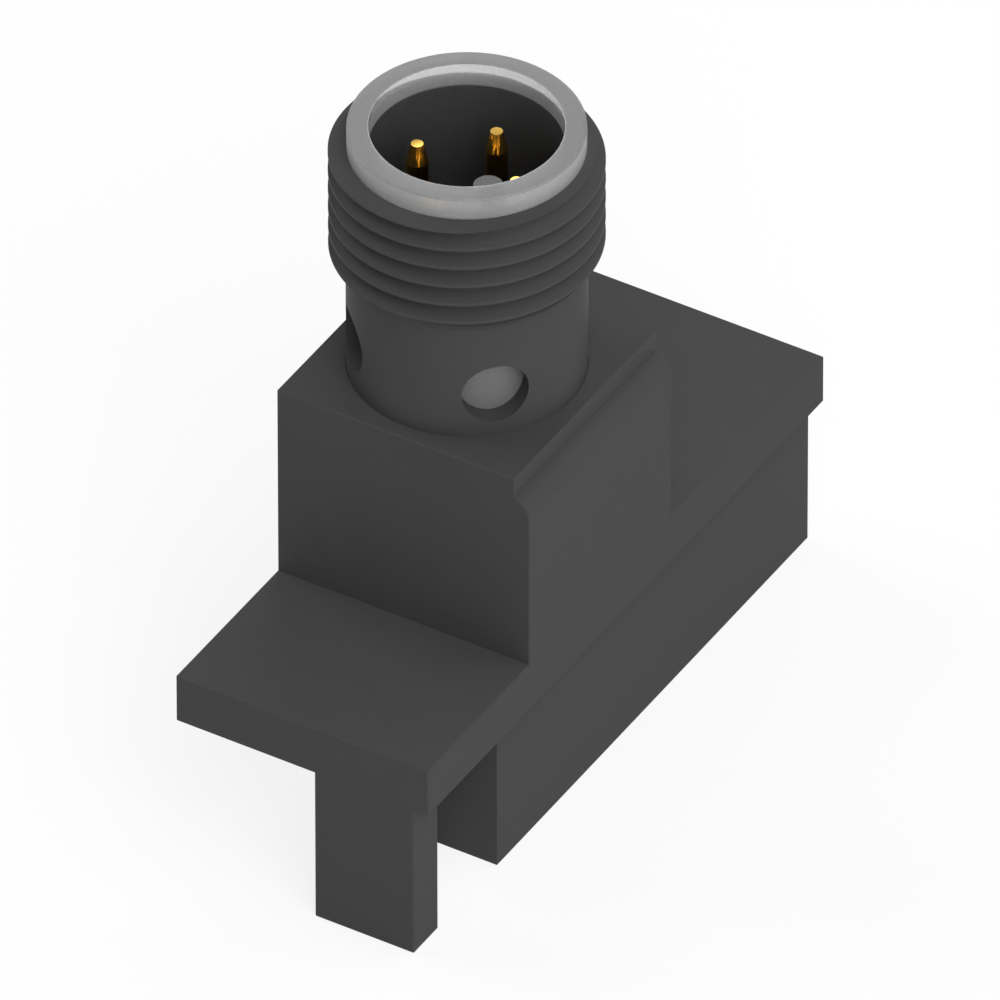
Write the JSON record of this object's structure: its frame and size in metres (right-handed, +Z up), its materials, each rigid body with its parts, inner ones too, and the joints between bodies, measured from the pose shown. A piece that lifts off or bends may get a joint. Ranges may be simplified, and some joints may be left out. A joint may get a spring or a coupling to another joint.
{
  "type": "magnetic field sensor",
  "caption": "Slot-mounted magnetic field sensor: flat plate with an offset key and front tab below, a block above, and an upright threaded plug-in connector with a glowing ring.",
  "frame": {"origin": "where the connector's axis crosses the underside of the plate, which is the face that lies on the machine beside the slot", "axes": "+Z up along the connector's axis, out of the slot; +Y along the slot, from the front tab towards the rear of the key; +X across the slot, towards the side that the key is offset to"},
  "size_m": [0.0128, 0.0335, 0.0335],
  "materials": {
    "housing_plastic": "black moulded plastic, fine satin grain",
    "tube_plastic": "black moulded plastic with a moulded thread",
    "guide_plastic": "frosted translucent plastic",
    "pin_gold": "gold-plated, turned",
    "board_laminate": "green solder mask over glass laminate",
    "led_resin": "clear cast lens on a white base",
    "flex_film": "amber film",
    "chip_mould": "black chip moulding",
    "capacitor_body": "tan ceramic with tinned ends",
    "resistor_body": "dark ceramic with tinned ends",
    "casting_resin": "dark casting resin"
  },
  "bodies": {
    "root": {"capacitor_1": "capacitor_body", "capacitor_2": "capacitor_body", "capacitor_3": "capacitor_body", "connector_board": "board_laminate", "connector_tube": "tube_plastic", "contact_pin_1": "pin_gold", "contact_pin_2": "pin_gold", "contact_pin_3": "pin_gold", "contact_pin_4": "pin_gold", "end_plug": "housing_plastic", "field_sensor_chip": "chip_mould", "flex_tail": "flex_film", "housing": "housing_plastic", "indicator_led_1": "led_resin", "indicator_led_2": "led_resin", "indicator_led_3": "led_resin", "indicator_led_4": "led_resin", "light_guide": "guide_plastic", "output_driver": "chip_mould", "polarity_diode": "chip_mould", "potting_resin": "casting_resin", "resistor_1": "resistor_body", "resistor_2": "resistor_body", "resistor_3": "resistor_body", "resistor_4": "resistor_body", "sensor_board": "board_laminate", "signal_processor": "chip_mould", "surge_suppressor": "chip_mould", "voltage_regulator": "chip_mould"}
  },
  "joints": []
}
